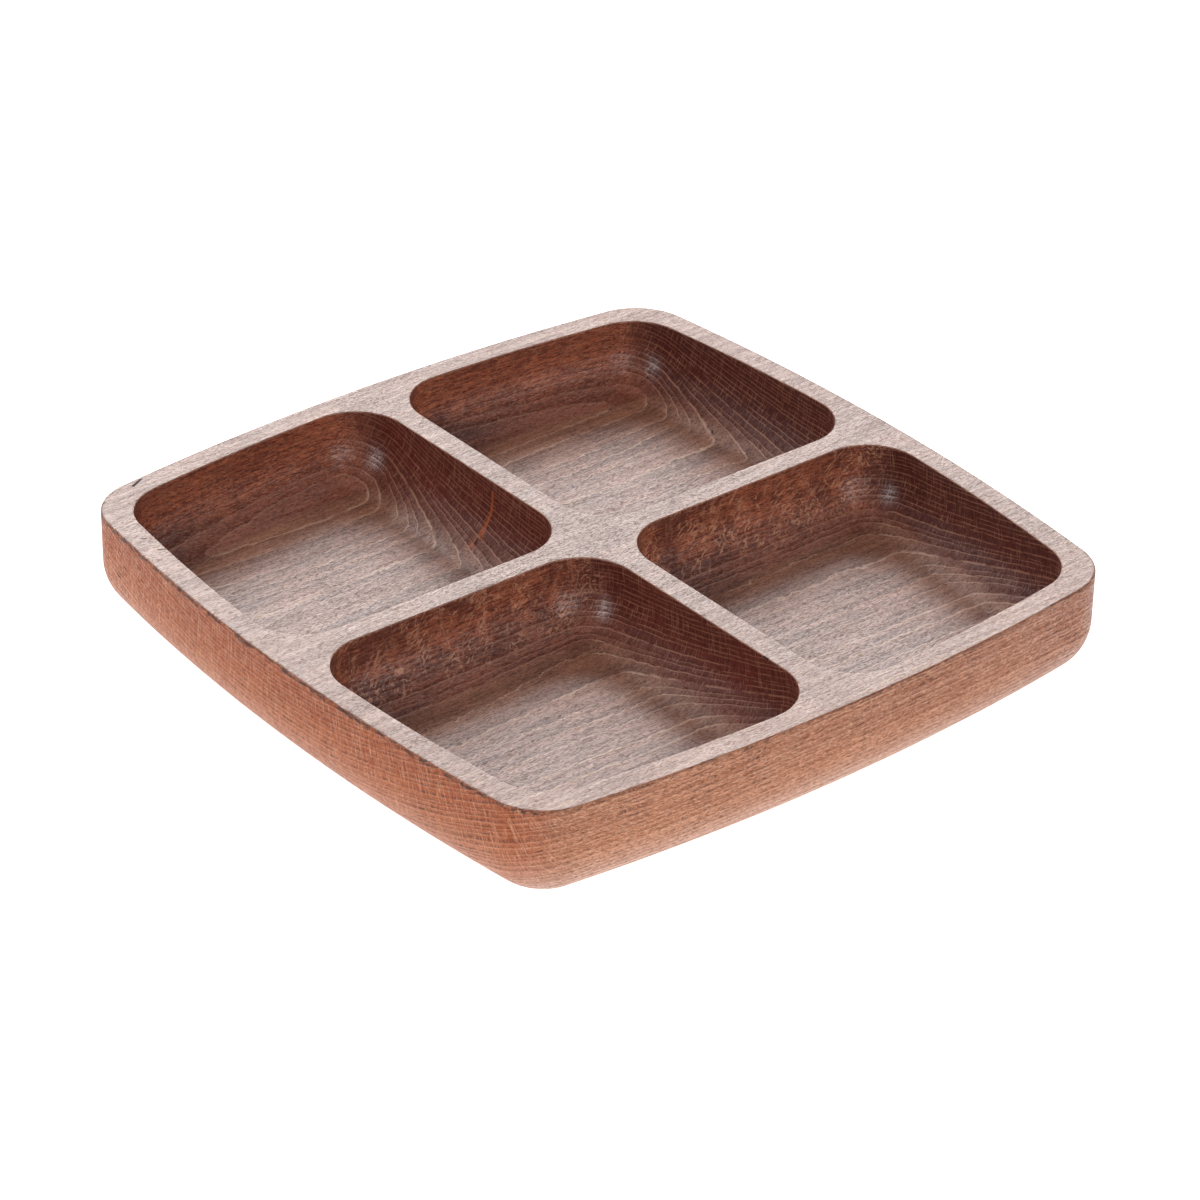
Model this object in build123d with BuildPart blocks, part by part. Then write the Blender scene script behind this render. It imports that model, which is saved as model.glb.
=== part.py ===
"""Four-compartment snack dish, routed out of one solid block of beech.

Millimetres, +Z up. X runs along the grain, Y across it. The origin is the middle of
the flat face that the dish rests on.

The block has a bowed square outline: each side is one shallow arc, the corners are
rounded, and a large round turns the outer walls into the resting face. Four pockets
are sunk from the flat top and leave a rim and a cross of two ribs. Their outer walls
follow the bow of the rim, and every wall stands upright below the mouth until a round
almost as large as the pocket's corners carries it into the flat floor.
"""
import os

from build123d import *

os.makedirs("parts", exist_ok=True)

# the block
dish_length = 280.0  # along the grain, over the crowns of the two bowed ends
dish_width = 280.0  # across the grain, over the crowns of the two bowed sides
dish_height = 40.0
side_bow = 9.6  # how far the middle of a side stands out beyond its two corners
corner_radius = 23.0
underside_round = 20.0
outer_edge_break = 0.7  # bevel sanded along the outer edge of the rim

# the pockets
rim_width = 9.5  # at the middle of a side
rib_width = 10.0
pocket_depth = 27.0
pocket_bow = 9.2  # the bow of the line that the four pockets share along one side
pocket_corner_radius = 20.5
pocket_floor_radius = 20.0  # under the corner radius, and less deep than the pocket
pocket_edge_break = 0.5  # bevel sanded along a pocket's mouth


def bowed_rectangle(length, width, bow):
    """Four arcs between sharp corners; length and width are taken over the crowns."""
    corner_x = length / 2 - bow
    corner_y = width / 2 - bow
    with BuildLine() as outline:
        ThreePointArc((-corner_x, -corner_y), (0, -width / 2), (corner_x, -corner_y))
        ThreePointArc((corner_x, -corner_y), (length / 2, 0), (corner_x, corner_y))
        ThreePointArc((corner_x, corner_y), (0, width / 2), (-corner_x, corner_y))
        ThreePointArc((-corner_x, corner_y), (-length / 2, 0), (-corner_x, -corner_y))
    return outline.line


# the room in the four pockets, as solids: one is drawn and the others mirror it
with BuildPart() as pockets:
    with BuildSketch(Plane.XY.offset(dish_height)) as mouth:
        add(bowed_rectangle(dish_length - 2 * rim_width, dish_width - 2 * rim_width, pocket_bow))
        make_face()
        with Locations((rib_width / 2, rib_width / 2)):
            Rectangle(dish_length, dish_width, align=(Align.MIN, Align.MIN), mode=Mode.INTERSECT)
        fillet(mouth.vertices(), pocket_corner_radius)
    extrude(amount=-pocket_depth)
    fillet(pockets.edges().group_by(Axis.Z)[0], pocket_floor_radius)
    mirror(about=Plane.XZ)
    mirror(about=Plane.YZ)

with BuildPart() as dish:
    # the block, its rounded corners and the round under its outer walls
    with BuildSketch() as block_outline:
        add(bowed_rectangle(dish_length, dish_width, side_bow))
        make_face()
        fillet(block_outline.vertices(), corner_radius)
    extrude(amount=dish_height)
    fillet(dish.edges().group_by(Axis.Z)[0], underside_round)
    chamfer(dish.edges().group_by(Axis.Z)[-1], outer_edge_break)

    # the pockets are sunk from the flat top, and the edge of each mouth is broken
    add(pockets.part, mode=Mode.SUBTRACT)
    top_face = dish.faces().sort_by(Axis.Z)[-1]
    chamfer([edge for rim in top_face.inner_wires() for edge in rim.edges()], pocket_edge_break)

dish.part.label = "dish"
export_step(dish.part, "parts/dish.step")
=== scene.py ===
"""Looks of the four-compartment snack dish: a block of stained beech with routed pockets.

Metres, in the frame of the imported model: X along the grain, +Z up, the origin under
the middle of the dish. The visible dish is one closed surface worked out with numpy
from the sizes of the block and its pockets. The dish mirrors itself about both middle
planes and both diagonals, so one eighth of it is worked out and laid round eight times.
"""

import math

import bmesh
import bpy
import numpy as np
from mathutils import Matrix, Vector


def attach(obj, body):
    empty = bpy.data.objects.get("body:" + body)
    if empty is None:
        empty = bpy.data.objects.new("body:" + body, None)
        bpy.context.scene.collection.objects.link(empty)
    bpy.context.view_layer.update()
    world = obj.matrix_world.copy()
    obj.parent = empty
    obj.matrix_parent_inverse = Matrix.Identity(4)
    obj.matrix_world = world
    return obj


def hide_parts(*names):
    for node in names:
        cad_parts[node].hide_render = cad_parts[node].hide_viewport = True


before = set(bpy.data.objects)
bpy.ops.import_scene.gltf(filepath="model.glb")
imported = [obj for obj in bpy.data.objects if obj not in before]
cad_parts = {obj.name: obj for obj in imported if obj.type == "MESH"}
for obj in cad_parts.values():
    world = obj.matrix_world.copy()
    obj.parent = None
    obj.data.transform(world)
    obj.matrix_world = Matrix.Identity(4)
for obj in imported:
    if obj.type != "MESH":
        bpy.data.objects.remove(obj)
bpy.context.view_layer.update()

MM = 0.001

# the block
DISH_HALF = 140.0 * MM
DISH_HEIGHT = 40.0 * MM
SIDE_BOW = 9.6 * MM
CORNER_RADIUS = 23.0 * MM
UNDERSIDE_ROUND = 20.0 * MM
OUTER_EASE = 0.7 * MM

# the pockets
RIM_WIDTH = 9.5 * MM
RIB_HALF = 5.0 * MM
POCKET_DEPTH = 27.0 * MM
POCKET_BOW = 9.2 * MM
POCKET_CORNER_RADIUS = 20.5 * MM
POCKET_FLOOR_RADIUS = 20.0 * MM
MOUTH_EASE = 0.5 * MM

# the photograph's camera, about the middle of the rim's plane
CAMERA_AZIMUTH = math.radians(-39.29)
CAMERA_ELEVATION = math.radians(30.26)
CAMERA_ROLL = math.radians(0.96)
CAMERA_DISTANCE = 1.6439
FRAME_PIXELS = 1200.0
FOCAL_PIXELS = 4602.2
RIM_CENTRE_PIXEL = (594.3, 536.05)
SENSOR_WIDTH = 36.0


def arc(centre, radius, start, end, count):
    """Points and outward normals on an arc: centre + radius (cos t, sin t), t from start to end."""
    t = np.linspace(start, end, count)
    normal = np.stack([np.cos(t), np.sin(t)], axis=1)
    return np.asarray(centre) + radius * normal, normal


def straight(start, end, normal, count):
    """Points on a straight edge, evenly spaced, all with one normal."""
    t = np.linspace(0.0, 1.0, count)[:, None]
    points = (1.0 - t) * np.asarray(start) + t * np.asarray(end)
    return points, np.tile(np.asarray(normal, float), (count, 1))


def joined(stretches):
    """Stretches end to end, without the point that each one shares with the last."""
    points = np.concatenate([stretches[0][0]] + [p[1:] for p, _ in stretches[1:]])
    normals = np.concatenate([stretches[0][1]] + [n[1:] for _, n in stretches[1:]])
    return points, normals


def bow_circle(half, bow):
    """Radius and centre of a side's circle, which meets its neighbours half - bow from both middles."""
    chord = half - bow
    radius = (chord**2 + bow**2) / (2 * bow)
    return radius, half - radius


def diagonal_centre(radius, centre, corner):
    """The k for which a corner round about (k, k) touches the circle about (centre, 0) from inside."""
    reach = radius - corner
    return (centre + math.sqrt(2 * reach**2 - centre**2)) / 2


# how many points each stretch of an eighth's outline has
N_INNER = 12
N_RIB = 22
N_TURN = 12
N_SIDE = 30
N_OUTER = 16
CROWN = N_INNER + N_RIB + N_TURN - 3

# how many rows of points each stretch of a profile has
N_EASE = 6
N_WALL = 7
N_ROUND = 19
N_FLAT = 14
N_TOP = 9

EIGHTHS = 8
SEAM = 0.002 * MM


def pocket_plan():
    """The mouth's bowed edge as a circle, and where the rib's edge is straight: from near to far."""
    radius, centre = bow_circle(DISH_HALF - RIM_WIDTH, POCKET_BOW)
    near = RIB_HALF + POCKET_CORNER_RADIUS
    far = centre + math.sqrt((radius - POCKET_CORNER_RADIUS)**2 - near**2)
    return radius, centre, near, far


def mouth_eighth():
    """The mouth of a pocket from its corner by the crossing to its outer corner, both on the diagonal.

    Half a corner, the rib's straight edge, a corner in two stretches, the bowed edge, half a corner.
    """
    radius, centre, near, far = pocket_plan()
    r = POCKET_CORNER_RADIUS
    k = diagonal_centre(radius, centre, r)
    lean_near = math.atan2(near, far - centre)
    lean_far = math.atan2(k, k - centre)
    turn = (lean_near - math.pi / 2) / 2
    return joined([
        arc((near, near), r, -3 * math.pi / 4, -math.pi / 2, N_INNER),
        straight((near, RIB_HALF), (far, RIB_HALF), (0, -1), N_RIB),
        arc((far, near), r, -math.pi / 2, turn, N_TURN),
        arc((far, near), r, turn, lean_near, N_TURN),
        arc((centre, 0), radius, lean_near, lean_far, N_SIDE),
        arc((k, k), r, lean_far, math.pi / 4, N_OUTER),
    ])


def surround_eighth():
    """What lies round that stretch of mouth, sampled in step with it.

    The rib's middle line from the crossing to the rim and on to the crown of the side, then the
    outer outline to the middle of the corner. Its normals count from the crown on.
    """
    radius, centre = bow_circle(DISH_HALF, SIDE_BOW)
    _, _, near, far = pocket_plan()
    k = diagonal_centre(radius, centre, CORNER_RADIUS)
    lean_far = math.atan2(k, k - centre)
    lean_near = math.asin(near / radius)
    return joined([
        straight((0, 0), (near, 0), (0, 0), N_INNER),
        straight((near, 0), (far, 0), (0, 0), N_RIB),
        straight((far, 0), (DISH_HALF, 0), (1, 0), N_TURN),
        arc((centre, 0), radius, 0, lean_near, N_TURN),
        arc((centre, 0), radius, lean_near, lean_far, N_SIDE),
        arc((k, k), CORNER_RADIUS, lean_far, math.pi / 4, N_OUTER),
    ])


def eased(count):
    """Shares from 0 to 1 that crowd towards both ends: (1 - cos(pi t)) / 2."""
    return (1 - np.cos(np.pi * np.linspace(0.0, 1.0, count))) / 2


def wall_profile(ease, side, flat, r):
    """Inset from an outline, and height, down a wall: eased edge, upright wall, round into the flat.

    Each round is a quarter circle that the wall touches: centre + radius (cos t, sin t). The edge
    leans back from a pocket where side is 1, and in over the outside where it is -1.
    """
    t = np.linspace(math.pi / 2, 0.0, N_EASE)
    edge = np.stack([side * (ease * np.cos(t) - ease), DISH_HEIGHT - ease + ease * np.sin(t)], axis=1)
    height = edge[-1, 1] + (flat + r - edge[-1, 1]) * eased(N_WALL)
    wall = np.stack([np.zeros(N_WALL), height], axis=1)
    t = np.linspace(0.0, math.pi / 2, N_ROUND)
    foot = np.stack([r - r * np.cos(t), flat + r - r * np.sin(t)], axis=1)
    return np.concatenate([edge, wall[1:], foot[1:]])


def pocket_profile():
    """Down a pocket, from its mouth into its floor."""
    return wall_profile(MOUTH_EASE, 1, DISH_HEIGHT - POCKET_DEPTH, POCKET_FLOOR_RADIUS)


def outer_profile():
    """Down the outside, from the rim into the base."""
    return wall_profile(OUTER_EASE, -1, 0.0, UNDERSIDE_ROUND)


def walled(points, normals, profile):
    """Rows of points: the outline moved in by each inset of the profile, at its height."""
    flat = points[None] - profile[:, 0, None, None] * normals[None]
    height = np.broadcast_to(profile[:, 1, None, None], flat.shape[:2] + (1,))
    return np.concatenate([flat, height], axis=2)


def closed_in(outline, centre, count):
    """Rows that draw a flat outline in to its centre: centre + s (point - centre), s from 1 to 0."""
    s = 1 - np.linspace(0.0, 1.0, count)[1:, None, None]
    centre = np.asarray(centre)
    return centre + s * (outline[None] - centre)


def between(first, last, count):
    """Rows laid evenly from one line of points to another, crowded towards both."""
    s = eased(count)[:, None, None]
    return (1 - s) * first[None] + s * last[None]


def eighth():
    """The three grids of one eighth: a pocket's inside, the flat top, and the outside with the base."""
    mouth, mouth_normals = mouth_eighth()
    around, around_normals = surround_eighth()
    pocket = walled(mouth, mouth_normals, pocket_profile())
    middle = (pocket[-1, 0] + pocket[-1, -1]) / 2
    pocket = np.concatenate([pocket, closed_in(pocket[-1], middle, N_FLAT)])
    outside = walled(around[CROWN:], around_normals[CROWN:], outer_profile())
    outside = np.concatenate([outside, closed_in(outside[-1], (0.0, 0.0, 0.0), N_FLAT)])
    brink = np.column_stack([around - OUTER_EASE * around_normals, np.full(len(around), DISH_HEIGHT)])
    top = between(pocket[0], brink, N_TOP)
    return [pocket, top, outside]


def grid_faces(rows, columns, first):
    """The four corners of each cell of a grid whose points are numbered row by row from first."""
    row, column = np.meshgrid(np.arange(rows - 1), np.arange(columns - 1), indexing="ij")
    corner = (first + row * columns + column).ravel()
    return np.stack([corner, corner + 1, corner + columns + 1, corner + columns], axis=1)


def laid_round(points, faces):
    """An eighth laid round eight times: as it is or with X and Y swapped, in each of the quarters."""
    all_points, all_faces = [], []
    for swapped in (False, True):
        for side_x in (1, -1):
            for side_y in (1, -1):
                turned = points[:, [1, 0, 2]] if swapped else points
                all_points.append(turned * (side_x, side_y, 1))
                inside_out = swapped != (side_x * side_y < 0)
                all_faces.append((faces[:, ::-1] if inside_out else faces) + len(points) * len(all_faces))
    return np.concatenate(all_points), np.concatenate(all_faces)


def placed(name, data):
    """An object with that data, in the scene."""
    holder = bpy.data.objects.new(name, data)
    bpy.context.scene.collection.objects.link(holder)
    return holder


def dish_piece():
    """The dish as one closed mesh, its seams merged and its faces outwards."""
    grids = eighth()
    faces, outside, first = [], [], 0
    for grid in grids:
        faces.append(grid_faces(grid.shape[0], grid.shape[1], first))
        outside.append(np.full(grid.shape[0] * grid.shape[1], float(grid is grids[-1])))
        first += grid.shape[0] * grid.shape[1]
    points = np.concatenate([grid.reshape(-1, 3) for grid in grids])
    points, faces = laid_round(points, np.concatenate(faces))
    mesh = bpy.data.meshes.new("dish_body")
    mesh.from_pydata(points.tolist(), [], faces.tolist())
    mesh.attributes.new("outside", "FLOAT", "POINT").data.foreach_set(
        "value", np.tile(np.concatenate(outside), EIGHTHS))
    shape = bmesh.new()
    shape.from_mesh(mesh)
    bmesh.ops.remove_doubles(shape, verts=shape.verts, dist=SEAM)
    bmesh.ops.recalc_face_normals(shape, faces=shape.faces)
    shape.to_mesh(mesh)
    shape.free()
    mesh.polygons.foreach_set("use_smooth", np.ones(len(mesh.polygons), bool))
    return placed("dish_body", mesh)


class Nodes:
    """Adds nodes to one tree. An input is given as a socket to link or as a plain value."""

    def __init__(self, tree):
        self.tree = tree

    def put(self, kind, inputs=None, **settings):
        node = self.tree.nodes.new(kind)
        for name, value in settings.items():
            setattr(node, name, value)
        for key, value in (inputs or {}).items():
            self.fill(node.inputs[key], value)
        return node

    def fill(self, socket, value):
        if isinstance(value, bpy.types.NodeSocket):
            self.tree.links.new(value, socket)
        else:
            socket.default_value = value

    def use(self, group, inputs):
        """A group placed in the tree with its own values, as its outputs."""
        return self.put("ShaderNodeGroup", inputs, node_tree=group).outputs

    def math(self, operation, *values):
        return self.put("ShaderNodeMath", dict(enumerate(values)), operation=operation).outputs[0]

    def chain(self, operation, values):
        result = values[0]
        for value in values[1:]:
            result = self.math(operation, result, value)
        return result

    def total(self, *values):
        return self.chain("ADD", values)

    def product(self, *values):
        return self.chain("MULTIPLY", values)

    def most(self, *values):
        return self.chain("MAXIMUM", values)

    def weighed(self, *pairs):
        """The sum of values, each times its weight."""
        return self.total(*(self.product(value, weight) for value, weight in pairs))

    def greatest(self, *pairs):
        """The greatest of values, each times its weight."""
        return self.most(*(self.product(value, weight) for value, weight in pairs))

    def less(self, value, taken):
        return self.math("SUBTRACT", value, taken)

    def rest(self, value):
        """What is left of 1."""
        return self.math("SUBTRACT", 1.0, value)

    def size(self, value):
        return self.math("ABSOLUTE", value)

    def vector(self, operation, *values):
        node = self.put("ShaderNodeVectorMath", dict(enumerate(values)), operation=operation)
        return node.outputs["Value" if operation in {"LENGTH", "DISTANCE", "DOT_PRODUCT"} else "Vector"]

    def combine(self, x, y, z):
        return self.put("ShaderNodeCombineXYZ", {0: x, 1: y, 2: z}).outputs[0]

    def separate(self, vector):
        return self.put("ShaderNodeSeparateXYZ", {0: vector}).outputs

    def span(self, value, low, high, to_low=0.0, to_high=1.0):
        """The value's way from low to high, eased at both ends, as a number from to_low to to_high."""
        inputs = {"Value": value, "From Min": low, "From Max": high, "To Min": to_low, "To Max": to_high}
        return self.put("ShaderNodeMapRange", inputs, interpolation_type="SMOOTHSTEP").outputs[0]

    def noise(self, place, detail, roughness=0.5, output="Fac"):
        inputs = {"Vector": place, "Scale": 1.0, "Detail": detail, "Roughness": roughness}
        return self.put("ShaderNodeTexNoise", inputs, noise_dimensions="3D").outputs[output]

    def cloud(self, place, turns, detail, roughness=0.5):
        """A noise of a place in millimetres that turns so many times in a millimetre along each axis."""
        return self.noise(self.vector("MULTIPLY", place, turns), detail, roughness)

    def patches(self, place, turns, detail, roughness, bare, full):
        """Patches where such a noise tops its value for bare, whole where it reaches that for full."""
        return self.span(self.cloud(place, turns, detail, roughness), bare, full)

    def mix(self, share, first, second):
        node = self.put("ShaderNodeMix", data_type="RGBA", blend_type="MIX")
        for key, value in (("Factor_Float", share), ("A_Color", first), ("B_Color", second)):
            self.fill(next(s for s in node.inputs if s.identifier == key), value)
        return next(s for s in node.outputs if s.identifier == "Result_Color")


def emptied(holder):
    """The nodes of a material or of a world, with none left in its tree."""
    holder.use_nodes = True
    holder.node_tree.nodes.clear()
    return Nodes(holder.node_tree)


FLOAT = "NodeSocketFloat"
VECTOR = "NodeSocketVector"


def new_group(name, inputs, outputs):
    """An empty node group with its named sockets, and the nodes that lead in and out of it."""
    group = bpy.data.node_groups.new(name, "ShaderNodeTree")
    for socket, kind, value in inputs:
        made = group.interface.new_socket(socket, in_out="INPUT", socket_type=kind)
        if value is not None:
            made.default_value = value
    for socket, kind in outputs:
        group.interface.new_socket(socket, in_out="OUTPUT", socket_type=kind)
    return Nodes(group), group.nodes.new("NodeGroupInput").outputs, group.nodes.new("NodeGroupOutput").inputs


# Clouds and patches are written as their turns in a millimetre along each axis, detail, roughness,
# and for patches the values at which they are bare and whole.

# the log that the block was sawn from: its pith and how far its rings wander, in millimetres
PITH_Y = 10.0
PITH_Z = 370.0
SLOW_WOBBLE = 4.0
FINE_WOBBLE = 1.15
SLOW_CLOUD = ((0.0084, 0.014, 0.014), 1.5)
FINE_CLOUD = ((0.128, 0.16, 0.16), 4.0, 0.7)
CLOUD_MIDDLE = 0.5


def log_group():
    """Where a point lies in the log, in millimetres: along it, round it and out from its pith.

    The pith runs along X above the dish. Out is the distance from it with slow and fine wobbles
    added, and round is the angle about it times the pith's height over the base. Slant is how far
    the surface leans from the rings: the sine of the angle between its normal and the radius.
    """
    n, given, result = new_group(
        "place in the log",
        [("Spot", VECTOR, None), ("Normal", VECTOR, None), ("Pith Y", FLOAT, PITH_Y),
         ("Pith Z", FLOAT, PITH_Z), ("Slow Wobble", FLOAT, SLOW_WOBBLE), ("Fine Wobble", FLOAT, FINE_WOBBLE)],
        [("Log", VECTOR), ("Out", FLOAT), ("Slant", FLOAT)])
    spot = given["Spot"]
    x, y, z = n.separate(spot)
    across = n.less(y, given["Pith Y"])
    down = n.less(given["Pith Z"], z)
    radius = n.vector("LENGTH", n.combine(0.0, across, down))
    slow = n.product(n.less(n.cloud(spot, *SLOW_CLOUD), CLOUD_MIDDLE), given["Slow Wobble"])
    fine = n.product(n.less(n.cloud(spot, *FINE_CLOUD), CLOUD_MIDDLE), given["Fine Wobble"])
    out = n.total(slow, fine, radius)
    around = n.product(n.math("DIVIDE", across, down), given["Pith Z"])
    outward = n.vector("NORMALIZE", n.combine(0.0, across, n.product(down, -1.0)))
    n.fill(result["Log"], n.combine(x, around, out))
    n.fill(result["Out"], out)
    n.fill(result["Slant"], n.vector("LENGTH", n.vector("CROSS_PRODUCT", given["Normal"], outward)))
    return n.tree


# the growth rings: their width and that of their lines in millimetres, how many rings they drift,
# and where their late wood begins and ends as shares of a ring
RING_WIDTH = 1.8
STEEP_LINE = 0.36
LEVEL_LINE = 0.52
LEAST_SLANT = 0.06
RING_DRIFT = 3.0
DRIFT_CLOUD = ((0.19, 0.0, 0.0), 1.0)
BROKEN_LINE = ((0.035, 0.09, 1.7), 3.0, 0.7, 0.32, 0.54)
DASHES = ((0.4, 0.75, 3.1), 2.0, 0.7, 0.44, 0.56)
LATE_START_SHARES = (0.45, 0.7)
LATE_END_SHARES = (0.97, 0.85)


def ring_group():
    """Growth rings: a thin pale line where each ring ends, its dark late wood, and a tone across it.

    The distance out from the pith, over the ring width and shifted by a slow noise of itself, has
    a whole part for each ring, and the line stands where its fraction wraps. The line keeps its
    width on the surface, whatever the slant at which the surface cuts the ring.
    """
    n, given, result = new_group(
        "growth rings",
        [("Log", VECTOR, None), ("Out", FLOAT, 0.0), ("Slant", FLOAT, 1.0), ("Ring Width", FLOAT, RING_WIDTH),
         ("Line Width", FLOAT, STEEP_LINE)],
        [("Line", FLOAT), ("Late", FLOAT), ("Tone", FLOAT)])
    out, width = given["Out"], given["Ring Width"]
    along, around, _ = n.separate(given["Log"])
    drift = n.product(n.cloud(n.combine(out, 0.0, 0.0), *DRIFT_CLOUD), RING_DRIFT)
    rings = n.total(n.math("DIVIDE", out, width), drift)
    tone = n.math("FRACT", rings)
    edge = n.math("MINIMUM", tone, n.rest(tone))
    away = n.math("DIVIDE", n.product(edge, width), n.most(given["Slant"], LEAST_SLANT))
    broken = n.patches(n.combine(along, around, n.math("ROUND", rings)), *BROKEN_LINE)
    dashes = n.patches(n.combine(along, around, n.math("FLOOR", rings)), *DASHES)
    late = n.product(n.span(tone, *LATE_START_SHARES), n.span(tone, *LATE_END_SHARES))
    n.fill(result["Line"], n.product(n.span(away, given["Line Width"], 0.0), broken))
    n.fill(result["Late"], n.product(late, dashes))
    n.fill(result["Tone"], tone)
    return n.tree


# flecks: their size along, round and out of the log in millimetres, detail, threshold and softness
RAYS = ((2.0, 0.45, 9.0), 2.0, 0.56, 0.08)
PORES = ((1.5, 0.42, 0.42), 1.0, 0.51, 0.07)
FIBRES = ((2.8, 0.46, 0.46), 2.0, 0.40, 0.2)
STREAKS = ((26.0, 1.9, 1.9), 3.0, 0.38, 0.24)
THREADS = ((7.0, 0.5, 0.5), 2.0, 0.38, 0.24)
FLECK_ROUGHNESS = 0.6


def fleck_group():
    """Flecks in the log: a noise of the place over their size, where it tops their threshold."""
    n, given, result = new_group(
        "flecks",
        [("Log", VECTOR, None), ("Size", VECTOR, (1.0, 1.0, 1.0)), ("Detail", FLOAT, 2.0),
         ("Threshold", FLOAT, 0.5), ("Softness", FLOAT, 0.1)],
        [("Fleck", FLOAT)])
    field = n.noise(n.vector("DIVIDE", given["Log"], given["Size"]), given["Detail"], FLECK_ROUGHNESS)
    whole = n.total(given["Threshold"], given["Softness"])
    n.fill(result["Fleck"], n.span(field, given["Threshold"], whole))
    return n.tree


# the curly figure: how its place is bent, in turns to a millimetre and in millimetres
BEND_TURNS = (0.22, 0.22, 0.22)
DRIFT_BEND = (9.0, 3.0, 9.0)
SCRATCH_BEND = (1.4, 0.5, 1.4)
DRIFTS = ((0.09, 0.10, 0.055), 5.0, 0.62, 0.40, 0.62)
HILLS = ((0.36, 0.3, 0.17), 1.0)
HILL_STEPS = 7.0
STEP_MIDDLE = 0.5
CONTOUR = (0.22, 0.04)
GENTLE_HILL = (0.13, 0.07)
CRESCENT_PATCHES = ((0.12, 0.1, 0.09), 2.0, 0.5, 0.44, 0.56)
ALONG_SCRATCH = (0.24, 0.0, -0.17)
ROUND_SCRATCH = (0.0, 0.5, 0.0)
ACROSS_SCRATCH = (0.69, 0.0, 0.99)
SCRATCH = (0.54, 0.64)
SCRATCH_PATCHES = ((0.13, 0.1, 0.06), 2.0, 0.5, 0.40, 0.60)


def curl_group():
    """Curly figure where the rays are cut lengthwise: dark drifts, bright crescents, slanted scratches.

    The drifts are a noise whose place is bent by another noise. The crescents are contour lines of
    a second noise, shown only here and there. The scratches are a noise squeezed along a slant.
    """
    n, given, result = new_group("curly figure", [("Log", VECTOR, None)],
                                 [("Curl", FLOAT), ("Crescent", FLOAT), ("Scratch", FLOAT)])
    log = given["Log"]
    bend = n.noise(n.vector("MULTIPLY", log, BEND_TURNS), 1.0, output="Color")
    bend = n.vector("SUBTRACT", bend, (CLOUD_MIDDLE,) * 3)
    place = n.vector("ADD", log, n.vector("MULTIPLY", bend, DRIFT_BEND))
    hill = n.cloud(place, *HILLS)
    step = n.math("FRACT", n.product(hill, HILL_STEPS))
    contour = n.span(n.size(n.less(step, STEP_MIDDLE)), *CONTOUR)
    gentle = n.span(n.size(n.less(hill, CLOUD_MIDDLE)), *GENTLE_HILL)
    swayed = n.vector("ADD", log, n.vector("MULTIPLY", bend, SCRATCH_BEND))
    slanted = n.combine(*(n.vector("DOT_PRODUCT", swayed, way)
                          for way in (ALONG_SCRATCH, ROUND_SCRATCH, ACROSS_SCRATCH)))
    scratch = n.span(n.noise(slanted, 1.0), *SCRATCH)
    n.fill(result["Curl"], n.patches(place, *DRIFTS))
    n.fill(result["Crescent"], n.product(contour, gentle, n.patches(log, *CRESCENT_PATCHES)))
    n.fill(result["Scratch"], n.product(scratch, n.patches(log, *SCRATCH_PATCHES)))
    return n.tree


# a stroke is full up to the first of these shares of its width, and gone at the second
STROKE_SHARES = (0.5, 1.5)


def stroke_group():
    """A short stroke on the surface: full within its width of the line from start to end, then fading."""
    n, given, result = new_group(
        "stroke",
        [("Spot", VECTOR, None), ("Start", VECTOR, None), ("End", VECTOR, None), ("Width", FLOAT, 0.5)],
        [("Stroke", FLOAT)])
    line = n.vector("SUBTRACT", given["End"], given["Start"])
    reach = n.vector("SUBTRACT", given["Spot"], given["Start"])
    along = n.math("DIVIDE", n.vector("DOT_PRODUCT", reach, line), n.vector("DOT_PRODUCT", line, line))
    along = n.math("MINIMUM", n.most(along, 0.0), 1.0)
    foot = n.put("ShaderNodeVectorMath", {0: line, "Scale": along}, operation="SCALE").outputs[0]
    full, gone = (n.product(given["Width"], share) for share in STROKE_SHARES)
    n.fill(result["Stroke"], n.span(n.vector("DISTANCE", reach, foot), gone, full))
    return n.tree


# marks of use and of the wood, in millimetres: start, end and half width
DARK_MARKS = (
    ((-110.4, 129.6, 40.0), (-105.7, 132.0, 40.0), 0.55),
    ((-129.6, 96.4, 40.0), (-127.8, 95.6, 40.0), 0.32),
    ((-128.9, 86.4, 40.0), (-126.6, 85.2, 40.0), 0.28),
    ((112.2, 66.9, 14.0), (114.3, 69.4, 14.2), 0.36),
    ((5.0, 101.0, 39.8), (5.1, 103.2, 39.8), 0.40),
    ((82.8, 4.9, 39.8), (85.0, 4.9, 39.8), 0.40),
    ((-5.0, -98.8, 39.8), (-5.0, -101.0, 39.8), 0.40),
    ((-13.0, 52.9, 17.0), (-11.6, 53.2, 18.2), 0.45),
)
RUSTY_MARKS = (
    ((-5.0, 53.1, 35.5), (-5.4, 52.7, 28.5), 0.55),
    ((-5.4, 52.7, 28.5), (-8.4, 53.2, 21.8), 0.70),
    ((-8.4, 53.2, 21.8), (-14.6, 53.6, 16.0), 0.80),
    ((-8.0, 53.1, 22.4), (-11.2, 51.4, 17.6), 0.45),
    ((-5.9, 52.8, 27.0), (-9.6, 54.2, 20.4), 0.35),
)

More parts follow.
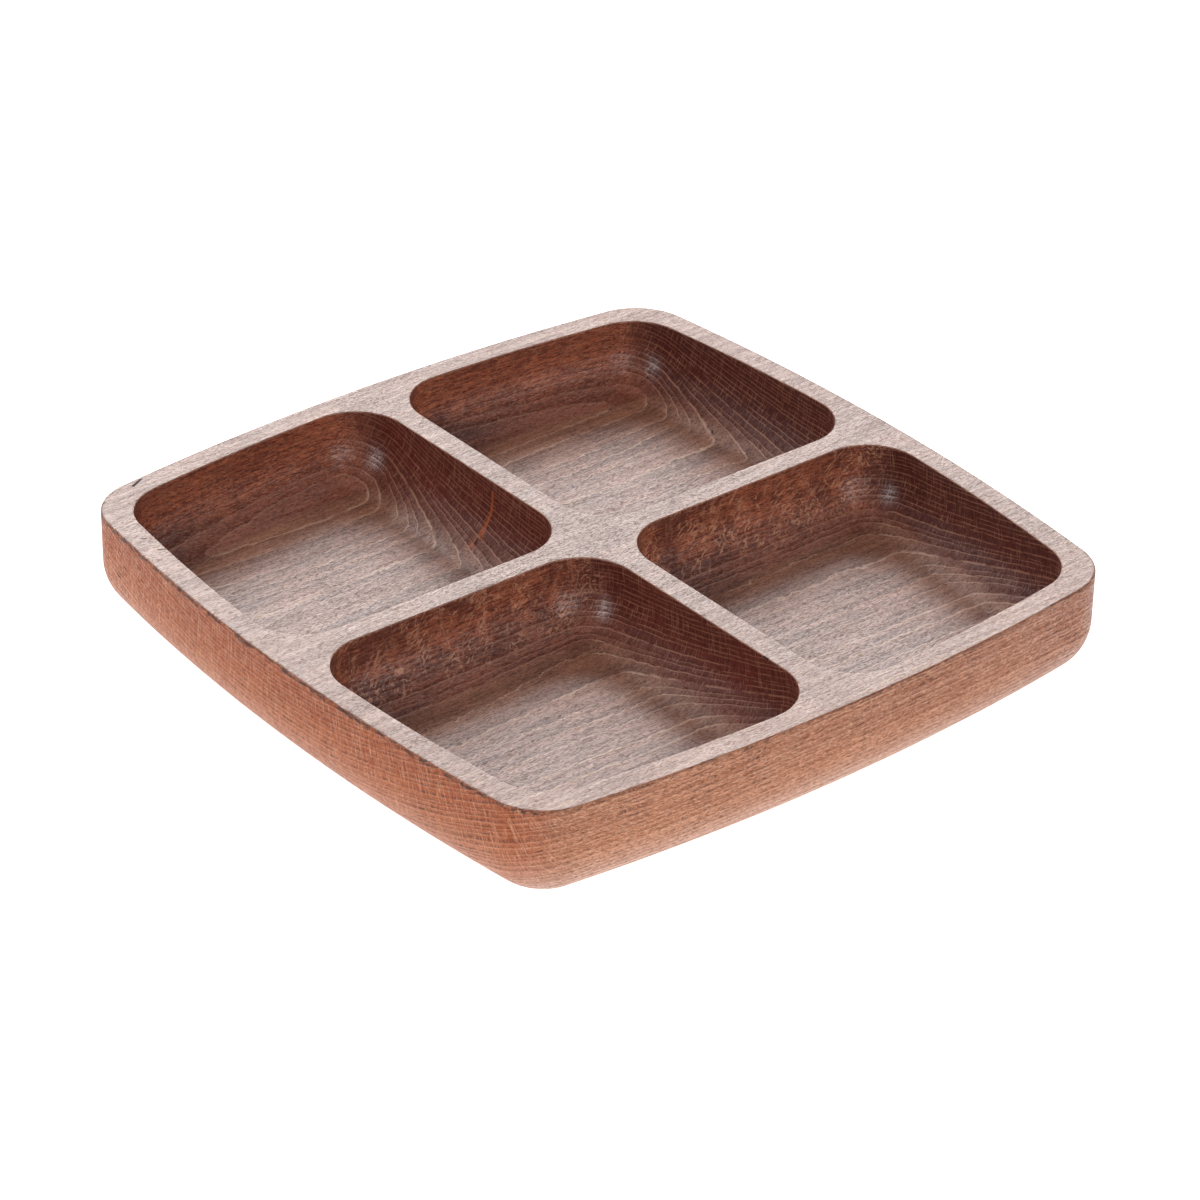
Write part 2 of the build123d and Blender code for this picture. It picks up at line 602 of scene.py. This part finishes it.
# light and deep colours of the stained wood, by the cut that a face shows and by where it lies, some with
# painted light and shade
# the top: paler as sanded wood and as painted sheen
TOP_SANDED_AND_PAINTED_SHEEN = ((0.54, 0.300, 0.213, 1.0), (0.25, 0.122, 0.087, 1.0))
FLAT = ((0.50, 0.213, 0.121, 1.0), (0.14, 0.048, 0.029, 1.0))
# painted shade: darker copies of the wall's colour on the pockets' foot round and lower long-grain walls
FOOT_PAINTED_SHADE = ((0.34, 0.092, 0.040, 1.0), (0.105, 0.024, 0.012, 1.0))
WALL_FOOT_PAINTED_SHADE = ((0.43, 0.122, 0.058, 1.0), (0.115, 0.026, 0.014, 1.0))
WALL = ((0.68, 0.196, 0.089, 1.0), (0.165, 0.036, 0.018, 1.0))
END = ((0.175, 0.017, 0.007, 1.0), (0.07, 0.0055, 0.003, 1.0))
OUTER_SIDE = ((0.598, 0.247, 0.118, 1.0), (0.308, 0.098, 0.042, 1.0))
OUTER_END = ((0.58, 0.172, 0.048, 1.0), (0.28, 0.050, 0.010, 1.0))
RING_LINE = (0.66, 0.41, 0.29, 1.0)
WALL_LINE = (0.50, 0.22, 0.125, 1.0)
OUTER_LINE = (0.80, 0.43, 0.24, 1.0)
# painted light from the floor below, paler towards the bottom of the outer faces
PAINTED_UNDERLIGHT = (0.83, 0.68, 0.60, 1.0)
CRESCENT = (0.84, 0.41, 0.25, 1.0)
# wear and a painted highlight on the pockets' eased lips
WORN_EDGE_AND_HIGHLIGHT = (0.50, 0.24, 0.13, 1.0)
LATE_WOOD = (0.11, 0.030, 0.014, 1.0)
PORE_STAIN = (0.052, 0.018, 0.010, 1.0)
SCORCH = (0.030, 0.012, 0.012, 1.0)
RUST = (0.45, 0.100, 0.020, 1.0)

# how far the normal leans to an axis where a cut of the wood begins, and where it is full
END_CUT = (0.4, 0.9)
SIDE_CUT = (0.3, 0.85)
UPRIGHT_SIDE = (0.7, 0.97)
SIDE_FOOT = (0.06, 0.4)
SIDE_BANK = (0.02, 0.25)
LEVEL = (0.96, 1.0)
NEARLY_LEVEL = (0.82, 0.97)
ACROSS_THE_FOOT = (0.16, 0.03)
TOP_LEVEL = (0.85, 0.98)
WIDE_LINE = (0.8, 1.0)
DRY_END = (0.75, 0.95)
NEAR_FACE = (-0.25, -0.6)
LIP_LOW = (0.15, 0.4)
LIP_HIGH = (0.985, 0.9)

# where on the dish a change begins and is full, in millimetres: along it, across it or up
RIM_TOP = (39.3, 39.9)
FIGURE = (70.0, 20.0)
# painted shade along the rib on X = 0 and at the +X and +Y rims, painted light at the -Y rim
RIB_PAINTED_SHADE_SPAN = (14.0, 7.0)
FAR_RIM_PAINTED_SHADE_SPAN = (110.0, 130.0)
FRONT_RIM_PAINTED_LIGHT_SPAN = (-118.0, -131.0)
# painted light on the long-grain outer faces, growing towards -X but for the corner
FRONT_PAINTED_LIGHT_SPAN = (50.0, -60.0)
FRONT_PAINTED_LIGHT_CORNER = (-130.0, -100.0)
RIGHT_END = (60.0, 125.0)
# painted shade on the outer faces, growing from the lower height to the upper
OUTER_PAINTED_SHADE_HEIGHT = (18.0, 34.0)
# painted shade under the rim, at the top of the pockets' walls
WALL_TOP_PAINTED_SHADE_SPAN = (34.5, 39.0)
# where the painted shade at the foot of the pockets' +Y walls lies, along and across
LEFT_POCKETS_END = (-75.0, -118.0)
RIGHT_POCKETS_END = (60.0, 18.0)
RIGHT_OF_RIB = (0.0, 4.0)
BACK_WALL_FOOT = (98.0, 112.0)
RIB_WALL_FOOT = (-38.0, -20.0)
FRONT_OF_RIB = (0.0, -4.0)
# the heights at which that painted shade is bare and full
FOOT_SHADE_HEIGHT = (27.0, 17.0)
# painted light on the floor strip under the +Y walls, across and in height
PAINTED_FLOOR_LIGHT_SPAN = (92.0, 104.0)
PAINTED_FLOOR_LIGHT_HEIGHT = (17.0, 13.0)
# heights of the painted light low on the outer faces: where it begins, higher on the end grain, and where it
# is full
UNDERLIGHT_FROM = 23.0
UNDERLIGHT_FROM_ON_END = 8.0
UNDERLIGHT_FULL = 4.0
LIP_HEIGHT = (39.2, 39.5)
SCORCH_HEIGHT = 39.1
SCORCH_BAND = (0.95, 0.3)

# metres from the middle of the crossing, and shares for each metre towards the far corner
PEPPERED = (0.1, 0.04)
FAR_CORNER = (0.8, 0.8, 0.0)
# the painted highlight in the pockets' back corners grows over these shares
FAR_POCKETS_HIGHLIGHT_SPAN = (0.0, 0.07)

# patches of the stain, and a cloud of painted shade, in turns and values as above; the shade: bare, full,
# least and most
STAIN_PATCHES = ((0.03, 0.06, 0.06), 3.0, 0.5, 0.35, 0.65)
FOOT_SHADE_CLOUD = ((0.05, 0.22, 0.22), 4.0, 0.65)
FOOT_SHADE_SHARES = (0.36, 0.6, 0.2, 0.75)
CROWDED = ((0.085, 0.085, 0.02975), 3.0, 0.5, 0.47, 0.62)
RAGGED = ((0.3, 0.22, 0.5), 4.0, 0.7, 0.42, 0.58)

FAINT_FIGURE = 0.3
PER_METRE = 1000.0


class Cut:
    """What the wood shows at a point: where it lies, how the block was cut there, the log's figure."""

    def __init__(self, n):
        place = n.put("ShaderNodeTexCoord").outputs
        self.metres = place["Object"]
        self.spot = n.vector("MULTIPLY", self.metres, (PER_METRE,) * 3)
        self.along, self.across, self.height = n.separate(self.spot)
        self.x, self.y, self.z = n.separate(place["Normal"])
        self.end_lean, self.side_lean, self.level_lean = (n.size(lean) for lean in (self.x, self.y, self.z))
        self.outside = n.put("ShaderNodeAttribute", attribute_name="outside").outputs["Fac"]
        self.inside = n.rest(self.outside)
        self.top = n.product(n.span(self.height, *RIM_TOP), n.span(self.z, *TOP_LEVEL))
        self.end = n.span(self.end_lean, *END_CUT)
        self.side = n.span(self.side_lean, *SIDE_CUT)
        foot = n.product(n.span(self.level_lean, *NEARLY_LEVEL), n.span(self.side_lean, *ACROSS_THE_FOOT))
        self.level = n.most(n.span(self.level_lean, *LEVEL), foot)
        self.curled = n.product(self.side, self.inside)
        self.figured = n.span(self.across, *FIGURE, FAINT_FIGURE, 1.0)
        self.far = n.vector("DOT_PRODUCT", self.metres, FAR_CORNER)

        log = n.use(log_group(), {"Spot": self.spot, "Normal": place["Normal"]})
        line_width = n.span(self.level_lean, *WIDE_LINE, STEEP_LINE, LEVEL_LINE)
        self.rings = n.use(ring_group(), {"Log": log["Log"], "Out": log["Out"], "Slant": log["Slant"],
                                          "Line Width": line_width})
        self.curls = n.use(curl_group(), {"Log": log["Log"]})
        flecks = fleck_group()
        self.ray, self.pore, self.fibre, self.streak, self.thread = (
            n.use(flecks, {"Log": log["Log"], "Size": size, "Detail": detail, "Threshold": threshold,
                           "Softness": softness})["Fleck"]
            for size, detail, threshold, softness in (RAYS, PORES, FIBRES, STREAKS, THREADS))


# what makes the stain deeper or lighter, and the painted light and shade laid into it, as shares of the way
# from its light to its deep colour
PATCHY = 0.22
LESS_PATCHY_OUTSIDE = 0.12
TONED = 0.3
STREAKED = 0.26
FIBROUS = 0.40
# painted shade on the top along the rib and at the far rims, painted light at the front rim
RIB_PAINTED_SHADE_SHARE = 0.14
FAR_RIM_PAINTED_SHADE_SHARE = 0.1
FRONT_RIM_PAINTED_LIGHT_SHARE = 0.14
# painted light on the long-grain outer faces
FRONT_PAINTED_LIGHT_SHARE = 0.24
DRIFTED = 0.48
DRIFT_GROUND = 0.1
# painted shade under the rim at the walls' top
WALL_TOP_PAINTED_SHADE_SHARE = 0.1
CALMED = 0.3
THREADED = 0.5
THREAD_MIDDLE = 0.25
# painted light on the floor under the +Y walls
PAINTED_FLOOR_LIGHT_SHARE = 0.2
FAR_END_DEEPENED = 0.4
FAR_OUTSIDE_DEEPENED = 0.3
# painted shade high on the outer faces
OUTSIDE_PAINTED_SHADE_SHARE = 0.26


def grain_depth(n, cut):
    """The stain's depth by patches, ring tone, streaks and fibres, with painted light and shade on the top
    and on the outer faces.
    """
    patchy = n.less(PATCHY, n.product(cut.outside, LESS_PATCHY_OUTSIDE))
    depth = n.weighed((n.patches(cut.spot, *STAIN_PATCHES), patchy), (cut.rings["Tone"], TONED),
                      (cut.streak, STREAKED), (cut.fibre, FIBROUS))
    return n.total(depth, n.product(painted_top_shade_and_light(n, cut), cut.top), n.product(painted_front_light(n, cut), -1.0))


def painted_top_shade_and_light(n, cut):
    """The flat top, deeper along the rib on X = 0 and at the +X and +Y rims, lighter at the -Y rim: painted
    shade and painted light of an uneven sheen.
    """
    shade = n.most(n.span(n.size(cut.along), *RIB_PAINTED_SHADE_SPAN, 0.0, RIB_PAINTED_SHADE_SHARE),
                   n.span(n.most(cut.along, cut.across), *FAR_RIM_PAINTED_SHADE_SPAN, 0.0, FAR_RIM_PAINTED_SHADE_SHARE))
    return n.less(shade, n.span(cut.across, *FRONT_RIM_PAINTED_LIGHT_SPAN, 0.0, FRONT_RIM_PAINTED_LIGHT_SHARE))


def painted_front_light(n, cut):
    """Painted light: the long-grain outer faces grow lighter towards -X, but for the corner."""
    return n.product(n.span(cut.along, *FRONT_PAINTED_LIGHT_SPAN, 0.0, FRONT_PAINTED_LIGHT_SHARE), n.span(cut.along, *FRONT_PAINTED_LIGHT_CORNER),
                     cut.side, cut.outside)


def curled_depth(n, cut, depth):
    """The same on the long-grain walls: calmer, with the dark drifts, a painted shade under the rim at the
    walls' top, and the fine threads laid over.
    """
    drifts = n.product(n.total(n.product(cut.curls["Curl"], DRIFTED), DRIFT_GROUND), cut.figured)
    # the painted shade under the rim is added to the drifts here
    drifts = n.total(drifts, n.span(cut.height, *WALL_TOP_PAINTED_SHADE_SPAN, 0.0, WALL_TOP_PAINTED_SHADE_SHARE))
    threads = n.less(n.product(cut.thread, THREADED), THREAD_MIDDLE)
    calm = n.rest(n.product(cut.curled, cut.figured, CALMED))
    return n.total(n.product(depth, calm), n.product(cut.curled, n.total(drifts, threads)))


def painted_foot_shade(n, cut):
    """Painted shade, dark and cloudy, at the foot of the pockets' +Y walls, by their -X ends."""
    left_end = n.most(n.span(cut.along, *LEFT_POCKETS_END),
                      n.product(n.span(cut.along, *RIGHT_POCKETS_END), n.span(cut.along, *RIGHT_OF_RIB)))
    under_wall = n.most(n.span(cut.across, *BACK_WALL_FOOT),
                        n.product(n.span(cut.across, *RIB_WALL_FOOT), n.span(cut.across, *FRONT_OF_RIB)))
    cloudy_shade = n.span(n.cloud(cut.spot, *FOOT_SHADE_CLOUD), *FOOT_SHADE_SHARES)
    return n.product(left_end, under_wall, cloudy_shade, cut.inside, n.span(cut.height, *FOOT_SHADE_HEIGHT))


def stain_depth(n, cut):
    """How deep the stain is at a point, from 0 for its light colour to 1 for its deep one, with painted light
    and shade laid in.
    """
    depth = curled_depth(n, cut, grain_depth(n, cut))
    # painted light on the floor strip under the +Y walls
    painted_floor_light = n.product(n.span(cut.across, *PAINTED_FLOOR_LIGHT_SPAN), n.span(cut.height, *PAINTED_FLOOR_LIGHT_HEIGHT),
                           cut.inside, PAINTED_FLOOR_LIGHT_SHARE)
    right_end = n.total(n.product(cut.end, cut.inside, FAR_END_DEEPENED),
                        n.product(cut.outside, FAR_OUTSIDE_DEEPENED))
    right_end = n.product(n.span(cut.along, *RIGHT_END), right_end)
    # painted shade high on the outer faces, lighter lower down
    outer_painted_shade = n.product(cut.outside, n.span(cut.height, *OUTER_PAINTED_SHADE_HEIGHT), OUTSIDE_PAINTED_SHADE_SHARE)
    return n.less(n.total(depth, painted_foot_shade(n, cut), right_end, outer_painted_shade), painted_floor_light)


# painted highlight: how far the back corners of the pockets turn lighter, from the end grain's colour to the
# side's
CORNER_PAINTED_HIGHLIGHT = 0.5
# painted light from the floor below, paler low on the outer faces: how much, and how much less on the end
# grain
UNDERLIGHT_SHARE = 0.30
LESS_UNDERLIGHT_ON_END = 0.35


def stained(n, cut, depth):
    """The stained wood's colour by the cut of each face, from the depth of the stain, with painted light and
    shade in it.
    """
    # the top's paler colour is partly painted sheen
    flat = n.mix(cut.top, n.mix(depth, *FLAT), n.mix(depth, *TOP_SANDED_AND_PAINTED_SHEEN))
    # painted shade: darker colours towards the foot round of the pockets
    wall = n.mix(n.span(cut.side_lean, *UPRIGHT_SIDE), n.mix(depth, *WALL_FOOT_PAINTED_SHADE), n.mix(depth, *WALL))
    foot = n.mix(n.span(cut.side_lean, *SIDE_FOOT), n.mix(depth, *FOOT_PAINTED_SHADE), wall)
    # painted highlight in the back corners, in all but the near pocket: less of the end grain's deep colour
    turned = n.product(cut.end, cut.side, n.span(cut.far, *FAR_POCKETS_HIGHLIGHT_SPAN, 0.0, CORNER_PAINTED_HIGHLIGHT))
    inner = n.mix(n.less(cut.end, turned), n.mix(cut.level, foot, flat), n.mix(depth, *END))
    outer = n.mix(cut.end, n.mix(depth, *OUTER_SIDE), n.mix(depth, *OUTER_END))
    # painted light from the bright floor below, low on the outer faces
    underlight_from = n.total(UNDERLIGHT_FROM, n.product(cut.end, UNDERLIGHT_FROM_ON_END))
    thin = n.product(cut.outside, n.span(cut.height, underlight_from, UNDERLIGHT_FULL, 0.0, UNDERLIGHT_SHARE),
                     n.rest(n.product(cut.end, LESS_UNDERLIGHT_ON_END)))
    return n.mix(thin, n.mix(n.product(cut.outside, n.rest(cut.top)), inner, outer), PAINTED_UNDERLIGHT)


# how strongly the late wood shows: anywhere, and more on the end grain and outside
LATE_SHOWN = 0.08
LATE_ON_END = 0.3
LATE_OUTSIDE = 0.12
LATE_IN_CROWDS = 0.5
# the rays: on a level face, and more where they are cut across or lengthwise
RAY_SHOWN = 0.05
RAY_ACROSS = 0.35
RAY_LENGTHWISE = 0.6
CURL_BRIGHT = 0.6
# the pores: in full, less by the cut, and more round the crossing
PORE_SHOWN = 0.38
PORE_LESS_ON_END = 0.12
PORE_LESS_ON_TOP = 0.1
PORE_LESS_CURLED = 0.14
PORE_PEPPERED = 0.26
# the ring lines: in full, and what hides them by the cut
LINE_SHOWN = 0.8
LINE_LESS_OUTSIDE = 0.58
LINE_LESS_ON_TOP = 0.55
LINE_LESS_ON_SIDE = 0.72
LINE_LESS_ON_BANK = 0.4
LINE_LESS_ON_END = 0.25


def grained(n, cut, colour):
    """The colour with late wood, rays, the bright curl, pores and ring lines laid over it in turn."""
    outside = n.total(LATE_OUTSIDE, n.product(n.patches(cut.spot, *CROWDED), LATE_IN_CROWDS))
    late = n.total(LATE_SHOWN, n.product(cut.end, LATE_ON_END), n.product(cut.outside, outside))
    colour = n.mix(n.product(cut.rings["Late"], late), colour, LATE_WOOD)

    line_colour = n.mix(cut.outside, n.mix(cut.level, WALL_LINE, RING_LINE), OUTER_LINE)
    across = n.most(cut.end, n.product(cut.side, RAY_LENGTHWISE))
    ray = n.product(cut.ray, n.total(RAY_SHOWN, n.product(across, RAY_ACROSS)))
    colour = n.mix(ray, colour, line_colour)

    bright = n.most(cut.curls["Crescent"], cut.curls["Scratch"])
    colour = n.mix(n.product(bright, CURL_BRIGHT, cut.figured, cut.curled), colour, CRESCENT)

    less = n.greatest((cut.end, PORE_LESS_ON_END), (cut.top, PORE_LESS_ON_TOP),
                      (cut.curled, PORE_LESS_CURLED))
    peppered = n.span(n.vector("LENGTH", cut.metres), *PEPPERED, 0.0, PORE_PEPPERED)
    pore = n.total(n.less(PORE_SHOWN, less), n.product(peppered, cut.top))
    colour = n.mix(n.product(cut.pore, pore), colour, PORE_STAIN)

    hidden = n.greatest((cut.outside, LINE_LESS_OUTSIDE), (cut.top, LINE_LESS_ON_TOP),
                        (cut.side, LINE_LESS_ON_SIDE), (n.span(cut.side_lean, *SIDE_BANK), LINE_LESS_ON_BANK),
                        (cut.end, LINE_LESS_ON_END))
    return n.mix(n.product(cut.rings["Line"], n.less(LINE_SHOWN, hidden)), colour, line_colour)


# the pockets' lips: wear and a painted edge highlight
LIP_WORN_AND_LIT = 0.3
SCORCHED = 0.9
SCORCHED_ON_SIDE = 0.45
RUSTED = 0.8


def marks(n, cut, group, strokes):
    """Where any of the strokes lies."""
    return n.most(*(n.use(group, {"Spot": cut.spot, "Start": start, "End": end, "Width": width})["Stroke"]
                    for start, end, width in strokes))


def scorched_edge(n, cut):
    """A dark, ragged band under the outer edge of the two faces that turn to -X and -Y."""
    facing = n.most(n.span(cut.x, *NEAR_FACE), n.product(n.span(cut.y, *NEAR_FACE), SCORCHED_ON_SIDE))
    band = n.span(n.size(n.less(cut.height, SCORCH_HEIGHT)), *SCORCH_BAND)
    return n.product(band, facing, n.patches(cut.spot, *RAGGED), cut.outside)


def used(n, cut, colour, scorched, dark, rusty):
    """The colour with the pockets' lips, worn and with a painted edge highlight, the scorched edge and the
    marks laid over it.
    """
    # the pockets' eased lips: wear and a painted edge highlight
    lip = n.product(n.span(cut.height, *LIP_HEIGHT), n.span(cut.z, *LIP_LOW), n.span(cut.z, *LIP_HIGH),
                    cut.inside, LIP_WORN_AND_LIT)
    colour = n.mix(lip, colour, WORN_EDGE_AND_HIGHLIGHT)
    colour = n.mix(n.product(scorched, SCORCHED), colour, SCORCH)
    colour = n.mix(n.product(rusty, RUSTED), colour, RUST)
    return n.mix(dark, colour, SCORCH)


# the lacquer: in full, and what it loses to the grain, to dry end grain and outside
LACQUER = 0.70
LESS_ON_PORE = 0.3
LESS_ON_FIBRE = 0.16
LESS_ON_STREAK = 0.1
RAISED_SHINES = 0.6
SUNK_DULLS = 0.35
SUNK_TONE = (0.25, 0.85)
END_DRY = 0.8
OUTSIDE_DULL = 0.6
SATIN = (0.40, 0.56)
PORE_ROUGH = 0.25
COAT_ROUGHNESS = 0.33
COAT_IOR = 1.8
SPECULAR = 0.3


def lacquer(n, cut, scorched, dark):
    """How much of the coat is left: less in the grain's hollows and on dry, scorched or outer wood."""
    dry = n.most(dark, scorched, n.span(cut.end_lean, *DRY_END, 0.0, END_DRY))
    steep = n.rest(cut.level)
    raised = n.product(n.most(cut.rings["Line"], cut.ray), steep, RAISED_SHINES)
    sunk = n.product(n.span(cut.rings["Tone"], *SUNK_TONE), steep, SUNK_DULLS)
    taken = n.weighed((cut.pore, LESS_ON_PORE), (cut.fibre, LESS_ON_FIBRE), (cut.streak, LESS_ON_STREAK))
    coat = n.less(n.total(n.less(LACQUER, taken), raised), sunk)
    return n.product(coat, n.rest(dry), n.rest(n.product(cut.outside, OUTSIDE_DULL)), n.rest(cut.far))


# the relief: ring lines and rays stand up, pores, fibres and dark marks lie sunk
LINE_UP = 0.6
RAY_UP = 0.6
FIBRE_DOWN = 0.6
MARK_DOWN = 3.0
BUMP_STRENGTH = 0.6
BUMP_HEIGHT = 0.32 * MM


def relief(n, cut, dark):
    """The normal over the grain's relief."""
    up = n.weighed((cut.rings["Line"], LINE_UP), (cut.ray, RAY_UP))
    down = n.total(cut.pore, n.product(cut.fibre, FIBRE_DOWN), n.product(dark, MARK_DOWN))
    return n.put("ShaderNodeBump", {"Strength": BUMP_STRENGTH, "Distance": BUMP_HEIGHT,
                                    "Height": n.less(up, down)}).outputs[0]


def beech():
    """Stained, satin-lacquered beech; the cut of the wood shows by which way the surface faces."""
    material = bpy.data.materials.new("stained beech")
    n = emptied(material)
    cut = Cut(n)
    stroke = stroke_group()
    dark, rusty = marks(n, cut, stroke, DARK_MARKS), marks(n, cut, stroke, RUSTY_MARKS)
    scorched = scorched_edge(n, cut)
    colour = grained(n, cut, stained(n, cut, stain_depth(n, cut)))
    shader = n.put("ShaderNodeBsdfPrincipled", {
        "Base Color": used(n, cut, colour, scorched, dark, rusty),
        "Roughness": n.total(n.span(cut.streak, 0.0, 1.0, *SATIN), n.product(cut.pore, PORE_ROUGH)),
        "Coat Weight": lacquer(n, cut, scorched, dark),
        "Normal": relief(n, cut, dark)})
    shader.inputs["Specular IOR Level"].default_value = SPECULAR
    shader.inputs["Coat Roughness"].default_value = COAT_ROUGHNESS
    shader.inputs["Coat IOR"].default_value = COAT_IOR
    n.put("ShaderNodeOutputMaterial", {"Surface": shader.outputs[0]})
    return material


def shown(n):
    """1 on rays that show the background: from the camera, off a gloss or through glass."""
    path = n.put("ShaderNodeLightPath").outputs
    return n.most(path["Is Camera Ray"], path["Is Glossy Ray"], path["Is Transmission Ray"])


FLOOR_HALF = 5.0
FLOOR_COLOUR = (0.85, 0.85, 0.85, 1.0)
# the floor's own light on the rays that light the dish, and on those that show the floor
FLOOR_LIFT = (0.85, 0.9)


def white_floor():
    """A pale floor that camera, mirror and glass see as white, with the dish's shadow kept."""
    side = FLOOR_HALF
    mesh = bpy.data.meshes.new("floor")
    mesh.from_pydata([(-side, -side, 0), (side, -side, 0), (side, side, 0), (-side, side, 0)],
                     [], [(0, 1, 2, 3)])
    floor = placed("floor", mesh)
    material = bpy.data.materials.new("pale floor")
    n = emptied(material)
    lift = n.put("ShaderNodeEmission", {"Strength": n.span(shown(n), 0.0, 1.0, *FLOOR_LIFT)})
    body = n.put("ShaderNodeBsdfDiffuse", {"Color": FLOOR_COLOUR})
    both = n.put("ShaderNodeAddShader", {0: body.outputs[0], 1: lift.outputs[0]})
    n.put("ShaderNodeOutputMaterial", {"Surface": both.outputs[0]})
    mesh.materials.append(material)


# the surroundings: light at the camera's side and at the far side, where that grows, and how much
# a direction's rise counts in it; then the rise at which the backdrop begins and is whole
WORLD_LIGHT = (0.05, 0.5)
WORLD_GROWS = (-0.8, 0.9)
RISE_COUNTS = 0.4
BACKDROP_TOP = (0.25, 0.15)
WHITE = (1.0, 1.0, 1.0, 1.0)


def studio_world():
    """Surroundings that brighten from the camera's side to the far side, above a low white backdrop.

    Camera, mirror and glass see that backdrop, from the floor up to a little over the horizon.
    """
    world = bpy.data.worlds.new("studio")
    bpy.context.scene.world = world
    n = emptied(world)
    direction = n.put("ShaderNodeTexCoord").outputs["Generated"]
    away = n.vector("DOT_PRODUCT", direction,
                    (-math.sin(CAMERA_AZIMUTH), math.cos(CAMERA_AZIMUTH), RISE_COUNTS))
    backdrop = n.product(shown(n), n.span(n.separate(direction)[2], *BACKDROP_TOP))
    light = n.product(n.span(away, *WORLD_GROWS, *WORLD_LIGHT), n.rest(backdrop))
    back = n.put("ShaderNodeBackground", {"Color": WHITE, "Strength": n.total(light, backdrop)})
    n.put("ShaderNodeOutputWorld", {"Surface": back.outputs[0]})


# lamps: name, azimuth from -Y and elevation in degrees, distance, width, height, radiance
SOFTBOXES = (
    ("back softbox", 152.0, 28.5, 1.4, 1.8, 0.62, 5.8),
    ("left softbox", -92.0, 30.0, 1.8, 0.6, 1.2, 5.2),
    ("right softbox", -2.0, 28.0, 1.8, 1.6, 1.2, 2.0),
)


def towards(azimuth, elevation):
    """The direction at an azimuth, counted from -Y towards +X, and an elevation, both in radians."""
    return Vector((math.sin(azimuth) * math.cos(elevation), -math.cos(azimuth) * math.cos(elevation),
                   math.sin(elevation)))


def softbox(name, azimuth, elevation, distance, width, height, radiance):
    """An area lamp that faces the dish from the given side; its power gives the radiance asked for."""
    side = towards(math.radians(azimuth), math.radians(elevation))
    lamp = bpy.data.lights.new(name, "AREA")
    lamp.shape = "RECTANGLE"
    lamp.size = width
    lamp.size_y = height
    lamp.energy = radiance * math.pi * width * height
    holder = placed(name, lamp)
    holder.location = side * distance
    holder.rotation_euler = side.to_track_quat("Z", "Y").to_euler()
    holder.visible_camera = False


def photo_camera():
    """The camera of the photograph: the middle of the rim falls on its pixel, rolled as measured."""
    back = towards(CAMERA_AZIMUTH, CAMERA_ELEVATION)
    right = Vector((0, 0, 1)).cross(back).normalized()
    up = back.cross(right)
    roll = CAMERA_ROLL
    right, up = math.cos(roll) * right + math.sin(roll) * up, math.cos(roll) * up - math.sin(roll) * right
    x, y = ((pixel - FRAME_PIXELS / 2) / FOCAL_PIXELS for pixel in RIM_CENTRE_PIXEL)
    aside = Vector((0, 0, -1)).rotation_difference(Vector((x, -y, -1))).to_matrix()
    turned = Matrix((right, up, back)).transposed() @ aside.transposed()
    camera = bpy.data.cameras.new("camera")
    camera.sensor_width = SENSOR_WIDTH
    camera.lens = FOCAL_PIXELS / FRAME_PIXELS * SENSOR_WIDTH
    place = turned.to_4x4()
    place.translation = Vector((0, 0, DISH_HEIGHT)) + CAMERA_DISTANCE * back
    holder = placed("camera", camera)
    holder.matrix_world = place
    bpy.context.scene.camera = holder


dish = dish_piece()
dish.data.materials.append(beech())
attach(dish, "root")
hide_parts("dish")

white_floor()
studio_world()
for lamp in SOFTBOXES:
    softbox(*lamp)
photo_camera()
bpy.context.scene.view_settings.view_transform = "Standard"
